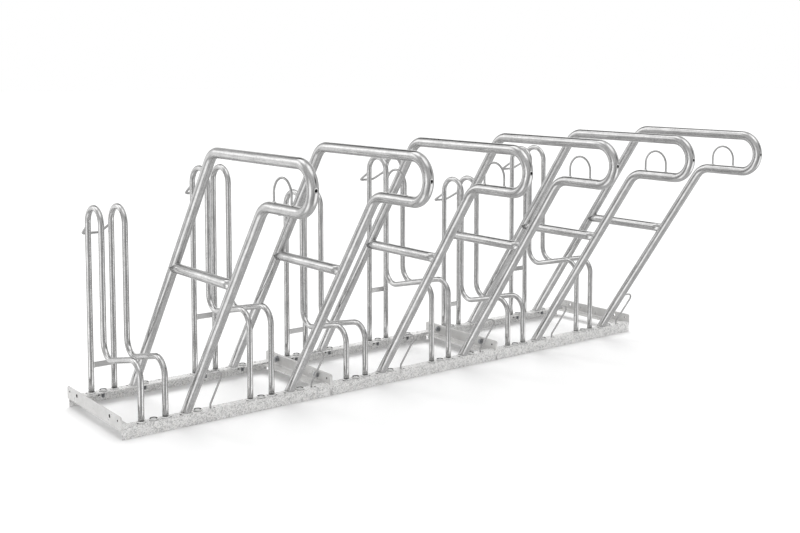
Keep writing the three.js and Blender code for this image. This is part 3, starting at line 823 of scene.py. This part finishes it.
class RACK_OT_rails(bpy.types.Operator):
    """Build the front and back rails with their anchor bolts, drain holes and end welds"""

    bl_idname = "rack.rails"
    bl_label = "Rails"

    def execute(self, context):
        base, tubes, joints = settings(context)
        start = base.end_thickness + CLEARANCE * 1.5
        run = base.place_pitch * PLACES_PER_MODULE - 2 * start
        top, middle, inner = base.rail_leg, base.rail_leg / 2, base.rail_thickness
        # The outline's legs run along the flange and down the outer face
        outline = angle_profile(base, base.rail_leg, base.rail_thickness)
        rail = pushed("rail", outline, run, lambda x, y, d: Vector((start + d, x, top - y)))
        slot_centre = tubes.holder_inset + tubes.holder_tube + tubes.tyre_slot / 2
        anchors, drains = [], []
        for i in range(PLACES_PER_MODULE):
            x = i * base.place_pitch
            hoop = x + tubes.hoop_inset
            left_tube = x + tubes.holder_inset + tubes.holder_tube / 2
            anchors += [x + slot_centre, hoop + tubes.foot_rod_offset / 2]
            drains += [left_tube + off for off in DRAINS_FROM_TUBE] + [hoop + off for off in DRAINS_FROM_HOOP]
        holes = [(Vector((x, middle - base.drain_offset, 0)), base.drain_hole) for x in drains]
        data = cut(rail, drills(holes, Z_AXIS, top - OVERRUN, top + OVERRUN))
        dots = [(Vector((x - LEG_HOLE_ASIDE, 0, base.leg_hole_level)), base.leg_hole) for x in anchors]
        data = cut(data, drills(dots, Y_AXIS, inner - SHALLOW, inner + OVERRUN))
        # The drain holes and the shallow holes in the rail's leg get painted shade inside
        paint_hole_shade(data, holes, Z_AXIS, 2)
        paint_hole_shade(data, dots, Y_AXIS, 2)
        mesh = bmesh.new()
        mesh.from_mesh(data)
        for x in anchors:
            self.anchor(mesh, base, joints, Vector((x, middle, top)))
        shares = [END_WELD_START + END_WELD_RUN * i / (END_WELD_POINTS - 1) for i in range(END_WELD_POINTS)]
        for k, x in enumerate((start, start + run)):
            line = [Vector((x, base.rail_leg * part, top)) for part in shares]
            bead(mesh, line, joints.rod_bead, 40 + k, closed=False)
        front = closed_data(mesh, "rail")
        back = front.copy()
        back.transform(Matrix.Translation((0, base.depth, 0)) @ Matrix.Diagonal((1, -1, 1, 1)))
        back.flip_normals()
        materials = zinc("angle", "weld", "bore", "bolt")
        for i in range(MODULES):
            place = X_AXIS * (i * base.place_pitch * PLACES_PER_MODULE)
            for side, data in (("front", front), ("back", back)):
                node = f"module_{i + 1}_{side}_rail"
                add_piece(f"{side}_rail_{i + 1}", data, place, [node], materials)
        return {"FINISHED"}

    def anchor(self, mesh, base, joints, seat):
        """A bolt with a round head on the flange and a threaded shank that ends above the ground."""
        head, dish, height = base.anchor_head / 2, base.anchor_dish / 2, base.anchor_height
        floor, rim = height - base.anchor_dish_depth, (head - dish) / 4
        hollow = [(dish / 2, floor), (dish, floor), (dish, height - rim)]
        outer = [(dish + rim, height), (head - rim, height), (head, height - 1.5 * rim), (head, -SUNK)]
        turned(mesh, hollow + outer, seat, HEAD_SIDES, 1)
        # A ring of painted shade round the dish
        inside, outside, low, high = dish - rim / 2, head - rim, height - 2 * rim, height + HAIR
        ring = [(inside, low), (inside, height - rim), (dish + rim, high), (outside, high), (outside, low)]
        turned(mesh, ring, seat, HEAD_SIDES, 2, closed=True)
        # A line of painted contact shade round the head
        painted_shade_line(mesh, seat, head + ANCHOR_LINE, head + ANCHOR_LINE, 2)
        shank, pitch = base.anchor_shank / 2, joints.thread_pitch
        turns = thread(shank, -base.rail_thickness, pitch - base.anchor_reach, pitch)
        ends = (shank * THREAD_ROOT, -base.rail_thickness / 2), (shank * SHANK_TIP, -base.anchor_reach)
        turned(mesh, [ends[0], *turns, ends[1]], seat, ANCHOR_SIDES, 3, False)


class RACK_OT_end_angles(bpy.types.Operator):
    """Build the angles across the ends of each module, with round corners and their holes"""

    bl_idname = "rack.end_angles"
    bl_label = "End angles"

    def execute(self, context):
        base = context.scene.rack_base
        low = end_angle_low(base)
        outline = angle_profile(base, base.end_leg, base.end_thickness)
        body = pushed("end angle", outline, base.depth, lambda x, y, d: Vector((x, base.depth - d, low + y)))
        data = cut(body, self.room(base, low))
        for y, way in ((0.0, 1.0), (base.depth, -1.0)):
            data = cut(data, self.corner(base, low + base.end_leg, y, way))
        level = low + base.end_hole_height
        pairs = (base.bolt_hole_inset, base.bolt_hole), (base.small_hole_inset, base.small_hole)
        holes = [(in_plane(y, level), size) for inset, size in pairs for y in (inset, base.depth - inset)]
        left = cut(data, drills(holes, X_AXIS, -OVERRUN, 2 * OVERRUN))
        # The holes of the end angle get painted shade inside
        paint_hole_shade(left, holes, X_AXIS, 1)
        right = left.copy()
        right.transform(Matrix.Translation((0, base.depth, 0)) @ Matrix.Rotation(math.pi, 4, "Z"))
        run, materials = base.place_pitch * PLACES_PER_MODULE, zinc("plate", "bore")
        for i in range(MODULES):
            near, far = i * run + CLEARANCE / 2, (i + 1) * run - CLEARANCE / 2
            for side, data, x in (("left", left, near), ("right", right, far)):
                name, node = f"{side}_end_angle_{i + 1}", f"module_{i + 1}_{side}_end_angle"
                add_piece(name, data, X_AXIS * x, [node], materials)
        return {"FINISHED"}

    def room(self, base, low):
        """What is cut away for the rails at both ends of the flat leg."""
        mesh = bmesh.new()
        clear = base.rail_thickness + base.rail_root + CLEARANCE
        for near, far in ((-OVERRUN, clear), (base.depth - clear, base.depth + OVERRUN)):
            size = Vector((base.end_leg, far - near, base.end_leg))
            x, z = base.end_thickness + size.x / 2 + HAIR, low + size.z / 2 - OVERRUN
            place = Matrix.Translation((x, (near + far) / 2, z)) @ Matrix.Diagonal((*size, 1.0))
            bmesh.ops.create_cube(mesh, size=1.0, matrix=place)
        return as_data(mesh, "room")

    def corner(self, base, top, y, way):
        """What is cut away outside a round upper corner."""
        radius, out, high = base.end_corner, y - way * OVERRUN, top + OVERRUN
        curve = arc(y + way * radius, top - radius, radius, 90 + way * 90, 90, CORNER_STEPS)
        outline = [*curve, (y + way * radius, high), (out, high), (out, top - radius)]
        return pushed("corner", outline, 2 * OVERRUN, lambda u, v, d: Vector((d - OVERRUN, u, v)))


class RACK_OT_holders(bpy.types.Operator):
    """Build the bent tubes of the wheel holders, with the spacer bars and the welds at their feet"""

    bl_idname = "rack.holders"
    bl_label = "Wheel holders"

    def execute(self, context):
        base, sizes, joints = settings(context)
        radius, foot, bead_radius = sizes.holder_tube / 2, base.rail_leg, joints.foot_bead
        back, front = base.depth - foot / 2, foot / 2
        inner = back - 2 * sizes.holder_top
        spacing = sizes.tyre_slot + sizes.holder_tube
        width = radius + bead_radius * FOOT_BEAD_OUT
        reach = width + bead_radius * LINE_OUT
        bends = [sizes.holder_top] * 2 + [sizes.holder_bend] * 2
        for place, x, raised in places():
            top, rest = sizes.low_height + raised - radius, sizes.rest_height + raised
            behind = (back, foot), (back, top), (inner, top), (inner, rest)
            route = *behind, (front, rest + sizes.rest_rise), (front, foot)
            line = divided(bent_line([in_plane(*at) for at in route], bends), TUBE_RUN)
            left_x = x + sizes.holder_inset + radius
            for side, tube_x in (("left", left_x), ("right", left_x + spacing)):
                mesh = bmesh.new()
                sweep(mesh, line, radius, HOLDER_SIDES)
                for k, y in enumerate((back, front)):
                    ring = in_plane(y, foot + FOOT_LIFT), X_AXIS * width, Y_AXIS * width
                    collar(mesh, *ring, bead_radius, place * 10 + k, HOLDER_SIDES, 8)
                    # A line of painted contact shade round the foot
                    painted_shade_line(mesh, in_plane(y, foot), reach, reach, 3)
                if side == "left":
                    self.spacer_bar(mesh, sizes, joints, back, sizes.bar_level + raised, spacing)
                name, node = f"wheel_holder_{place}_{side}_tube", f"holder_{place}_{side}_tube"
                seed, kinds = place * 2 + (side == "left"), ("tube", "weld", "rod", "bore")
                add_bar(mesh, name, tube_x, node, seed, kinds)
        return {"FINISHED"}

    def spacer_bar(self, mesh, sizes, joints, back, level, spacing):
        """The flat bar between the back legs, with rounded edges and a bead round each end."""
        half_y, half_z = sizes.bar_thickness / 2 - BAR_EDGE, sizes.bar_height / 2 - BAR_EDGE
        outline = []
        for turn, to_y, to_z in ((0, 1, 1), (90, -1, 1), (180, -1, -1), (270, 1, -1)):
            outline += arc(to_y * half_y, to_z * half_z, BAR_EDGE, turn, turn + 90, 3)
        left, right = sizes.holder_tube / 2, spacing - sizes.holder_tube / 2
        start, end = left - BAR_IN_TUBES[0], right + BAR_IN_TUBES[1]
        stations = [start + (end - start) * i / BAR_STEPS for i in range(BAR_STEPS + 1)]
        rings = [loop(mesh, [(x, back + y, level + z) for y, z in outline]) for x in stations]
        skin(mesh, rings, 2, False)
        for k, x in enumerate((left + ROD_LIFT, right - ROD_LIFT)):
            ring = [Vector((x, back + y * BAR_BEAD_OUT, level + z)) for y, z in outline]
            bead(mesh, ring, joints.rod_bead * BAR_BEAD, 70 + k, 1, 6)


class RACK_OT_lock_rods(bpy.types.Operator):
    """Build the bent rods at the backs of the wheel holders"""

    bl_idname = "rack.lock_rods"
    bl_label = "Lock rods"

    def execute(self, context):
        base, sizes, joints = settings(context)
        back = base.depth - base.rail_leg / 2
        far, spacing = back + sizes.lock_reach, sizes.tyre_slot + sizes.holder_tube
        tube, rod = sizes.holder_tube / 2, sizes.lock_rod / 2
        for place, x, raised in places():
            level = sizes.low_height + raised - sizes.lock_below_top
            low = level - sizes.lock_drop
            left, right = Vector((0, back, level)), Vector((spacing, back, level))
            far_left = Vector((sizes.lock_taper, far, low))
            far_right = Vector((spacing - sizes.lock_taper, far, low))
            line = bent_line([left, far_left, far_right, right], [sizes.lock_bend] * 2)
            mesh = bmesh.new()
            sweep(mesh, divided(line, LOCK_RUN), rod, ROD_SIDES)
            for k, (point, inner) in enumerate(((left, far_left), (right, far_right))):
                way = (inner - point).normalized()
                aside = way.cross(Z_AXIS).normalized() * (rod + LOCK_BEAD_OUT)
                seat = point + way * (tube + LOCK_BEAD_OFF)
                collar(mesh, seat, aside, way.cross(aside), joints.rod_bead, place * 3 + k)
            x += sizes.holder_inset + tube
            add_bar(mesh, f"lock_rod_{place}", x, f"holder_{place}_lock_rod", place + 20)
        return {"FINISHED"}


class RACK_OT_hoops(bpy.types.Operator):
    """Build the leaning hoops, cut level at the rails, with the vent hole in the nose"""

    bl_idname = "rack.hoops"
    bl_label = "Hoops"

    def execute(self, context):
        base, sizes, joints = settings(context)
        shape = HoopShape(base, sizes)
        hoop = self.vented(shape, sizes, self.tube(shape, base))
        feet = shape.back_leg(base.rail_leg), shape.front_leg(base.rail_leg)
        width = shape.radius + joints.foot_bead * HOOP_BEAD_OUT
        along = base.rail_leg / 2 - sizes.hoop_foot_inset
        for place, x, _ in places():
            mesh = bmesh.new()
            mesh.from_mesh(hoop)
            for k, foot in enumerate(feet):
                ring = foot + Z_AXIS * FOOT_LIFT, X_AXIS * width, Y_AXIS * along
                collar(mesh, *ring, joints.foot_bead, place * 5 + k, HOOP_SIDES, 8)
                # A line of painted contact shade round the foot
                painted_shade_line(mesh, foot, width + joints.foot_bead * LINE_OUT, along - SUNK, 2)
            for face in mesh.faces:
                face.smooth = True
            name, node, at = f"leaning_hoop_{place}", f"hoop_{place}_tube", X_AXIS * (x + sizes.hoop_inset)
            materials = zinc("tube", "weld", "bore")
            add_piece(name, as_data(mesh, node), at, [node], materials, place + 40)
        return {"FINISHED"}

    def tube(self, shape, base):
        """The bent tube, with both legs cut off level on the rails."""
        mesh = bmesh.new()
        sweep(mesh, shape.line(), shape.radius, HOOP_SIDES)
        everything = mesh.verts[:] + mesh.edges[:] + mesh.faces[:]
        plane = {"plane_co": (0, 0, base.rail_leg), "plane_no": (0, 0, -1)}
        made = bmesh.ops.bisect_plane(mesh, geom=everything, clear_outer=True, **plane)["geom_cut"]
        bmesh.ops.edgeloop_fill(mesh, edges=[part for part in made if isinstance(part, bmesh.types.BMEdge)])
        return closed_data(mesh, "hoop")

    def vented(self, shape, sizes, hoop):
        """The tube with its vent hole, with painted shade inside."""
        vent = in_plane(shape.nose - shape.radius, (shape.top + shape.lower) / 2)
        hoop = cut(hoop, drills([(vent, sizes.vent_hole)], Y_AXIS, -OVERRUN, VENT_DEPTH))
        for face in hoop.polygons:
            off = Vector(face.center) - vent
            if off.y > SHALLOW and math.hypot(off.x, off.z) < sizes.vent_hole * VENT_EDGE:
                face.material_index = 2
        return hoop


class RACK_OT_crossbars(bpy.types.Operator):
    """Build the crossbars between the hoops' legs, with a bead along each coped end"""

    bl_idname = "rack.crossbars"
    bl_label = "Crossbars"

    def execute(self, context):
        base, sizes, joints = settings(context)
        shape = HoopShape(base, sizes)
        lean, radius = sizes.hoop_lean, shape.radius
        ends = shape.front_leg(sizes.crossbar_level), shape.back_leg(sizes.crossbar_level)
        for place, x, _ in places():
            mesh = bmesh.new()
            sweep(mesh, divided(bent_line(ends, []), CROSSBAR_RUN), radius, HOOP_SIDES)
            for k, (end, way) in enumerate(zip(ends, (1.0, -1.0))):
                saddle = ring_points(Vector(), X_AXIS * radius, Z_AXIS * radius, HOOP_SIDES)
                for point in saddle:
                    run = way * abs(point.z) - point.z * math.cos(lean)
                    point.y = run / math.sin(lean) + way * ROD_LIFT
                bead(mesh, [end + point for point in saddle], joints.tube_bead, place * 7 + k, 0)
            x, node = x + sizes.hoop_inset, f"hoop_{place}_crossbar"
            add_bar(mesh, f"crossbar_{place}", x, node, place + 60, ("tube",))
        return {"FINISHED"}


class RACK_OT_eyes(bpy.types.Operator):
    """Build the round eyes that stand on the lower tubes of the noses"""

    bl_idname = "rack.eyes"
    bl_label = "Locking eyes"

    def execute(self, context):
        base, sizes, joints = settings(context)
        shape, rod = HoopShape(base, sizes), sizes.eye_rod / 2
        half = (sizes.eye_width - sizes.eye_rod) / 2
        middle = sizes.eye_from_tip - sizes.hoop_reach
        front, back, seat = middle - half, middle + half, shape.lower + shape.radius
        top = seat + sizes.eye_height - rod
        route = (front, shape.lower), (front, top), (back, top), (back, shape.lower)
        line = divided(bent_line([in_plane(*at) for at in route], [half, half]), ROD_RUN)
        width = rod + ROD_BEAD_OUT
        for place, x, _ in places():
            mesh = bmesh.new()
            sweep(mesh, line, rod, ROD_SIDES)
            for k, y in enumerate((front, back)):
                ring = in_plane(y, seat + EYE_LIFT), X_AXIS * width, Y_AXIS * width
                collar(mesh, *ring, joints.rod_bead, place * 9 + k)
            add_bar(mesh, f"locking_eye_{place}", x + sizes.hoop_inset, f"hoop_{place}_eye", place + 80)
        return {"FINISHED"}


class RACK_OT_foot_rods(bpy.types.Operator):
    """Build the bent rods beside the hoops' front feet"""

    bl_idname = "rack.foot_rods"
    bl_label = "Foot rods"

    def execute(self, context):
        base, sizes, joints = settings(context)
        shape, rod, aside = HoopShape(base, sizes), sizes.foot_rod / 2, X_AXIS * sizes.foot_rod_offset
        knee = shape.front_leg(base.rail_leg + CLEARANCE + sizes.foot_rod_upright)
        top = shape.front_leg(sizes.foot_rod_height)
        foot = in_plane(knee.y, base.rail_leg) + aside
        line = bent_line([foot, knee + aside, top + aside, top], [sizes.foot_rod_knee, sizes.foot_rod_top])
        line = divided(line, ROD_RUN)
        width, weld = rod + ROD_BEAD_OUT, joints.rod_bead
        for place, x, _ in places():
            mesh = bmesh.new()
            sweep(mesh, line, rod, ROD_SIDES)
            collar(mesh, foot + Z_AXIS * ROD_LIFT, X_AXIS * width, Y_AXIS * width, weld, place * 11)
            seat = top + X_AXIS * (shape.radius + EYE_LIFT)
            collar(mesh, seat, Y_AXIS * width, Z_AXIS * width, weld, place * 11 + 1)
            add_bar(mesh, f"foot_rod_{place}", x + sizes.hoop_inset, f"hoop_{place}_foot_rod", place + 100)
        return {"FINISHED"}


class RACK_OT_bolts(bpy.types.Operator):
    """Build the bolts and nuts that join the modules"""

    bl_idname = "rack.bolts"
    bl_label = "Bolts and nuts"

    def execute(self, context):
        base, joints = context.scene.rack_base, context.scene.rack_joints
        grip = base.end_thickness + CLEARANCE / 2
        mesh = bmesh.new()
        self.hexagon(mesh, joints.across_flats / 2, grip, joints.head_height, False)
        self.hexagon(mesh, joints.across_flats / 2, -grip, -joints.nut_height, True)
        self.shank(mesh, joints, grip)
        data, materials = closed_data(mesh, "bolt"), zinc("bolt")
        level = end_angle_low(base) + base.end_hole_height
        for i in range(1, MODULES):
            x = i * base.place_pitch * PLACES_PER_MODULE
            for side, y in (("front", base.bolt_hole_inset), ("back", base.depth - base.bolt_hole_inset)):
                name, node, place = f"{side}_bolt_{i}", f"joint_{i}_{side}_bolt", Vector((x, y, level))
                add_piece(name, data, place, [node], materials)
        return {"FINISHED"}

    def hexagon(self, mesh, flat, seat, height, both_ends):
        """A hexagon along X, chamfered at its far face, and at its seat if asked."""
        far, fall = seat + height, math.copysign(HEX_CHAMFER, height)
        rings = []
        for x, slope, full in (
            (seat, 0.0, False),
            (seat, fall if both_ends else 0.0, True),
            (far, -fall, True),
            (far, 0.0, False),
        ):
            ring = []
            for i in range(HEX_SIDES):
                turn = 2 * math.pi * i / HEX_SIDES
                corner = flat / math.cos((turn + math.pi / 6) % (math.pi / 3) - math.pi / 6)
                r = corner if full else flat * HEX_FACE
                ring.append((x + slope * (corner - flat), r * math.cos(turn), r * math.sin(turn)))
            rings.append(loop(mesh, ring))
        skin(mesh, rings, 0, False)

    def shank(self, mesh, joints, grip):
        """The shank, threaded past the nut, with a chamfered tip."""
        radius, pitch = joints.bolt / 2, joints.thread_pitch
        start, tip = -grip - joints.nut_height * NUT_THREAD, -grip - joints.nut_height - joints.tail
        profile = [
            (radius, grip + joints.head_height / 2),
            (radius, start),
            *thread(radius, start - pitch / 2, tip + THREAD_TIP, pitch),
            (radius * BEVEL_TOP, tip + TIP_BEVEL),
            (radius * BOLT_TIP, tip),
        ]
        turned(mesh, profile, Vector(), BOLT_SIDES, smooth=False, axes=(Y_AXIS, Z_AXIS, X_AXIS))


class RACK_PT_panel(bpy.types.Panel):
    """Lists the rack's steps, sizes and colours"""

    bl_label = "Bike rack"
    bl_idname = "RACK_PT_panel"
    bl_space_type = "VIEW_3D"
    bl_region_type = "UI"
    bl_category = "Bike rack"

    def draw(self, context):
        for step in STEPS:
            self.layout.operator(step.bl_idname)
        for name, cls in SETTINGS.items():
            box = self.layout.box()
            box.label(text=cls.__doc__)
            for setting in cls.__annotations__:
                box.prop(getattr(context.scene, name), setting)


SETTINGS = {
    "rack_base": RackBaseSizes,
    "rack_tubes": RackTubeSizes,
    "rack_joints": RackJointSizes,
    "rack_finish": RackFinish,
    "rack_studio": RackStudio,
}
STEPS = (
    RACK_OT_stage,
    RACK_OT_rails,
    RACK_OT_end_angles,
    RACK_OT_holders,
    RACK_OT_lock_rods,
    RACK_OT_hoops,
    RACK_OT_crossbars,
    RACK_OT_eyes,
    RACK_OT_foot_rods,
    RACK_OT_bolts,
)


def register():
    for cls in (*SETTINGS.values(), *STEPS, RACK_PT_panel):
        bpy.utils.register_class(cls)
    for name, cls in SETTINGS.items():
        setattr(bpy.types.Scene, name, bpy.props.PointerProperty(type=cls))


def unregister():
    for name in SETTINGS:
        delattr(bpy.types.Scene, name)
    for cls in (RACK_PT_panel, *reversed(STEPS), *reversed(SETTINGS.values())):
        bpy.utils.unregister_class(cls)


def main():
    register()
    bpy.ops.rack.stage()
    bpy.ops.rack.rails()
    bpy.ops.rack.end_angles()
    bpy.ops.rack.holders()
    bpy.ops.rack.lock_rods()
    bpy.ops.rack.hoops()
    bpy.ops.rack.crossbars()
    bpy.ops.rack.eyes()
    bpy.ops.rack.foot_rods()
    bpy.ops.rack.bolts()


if __name__ == "__main__":
    main()
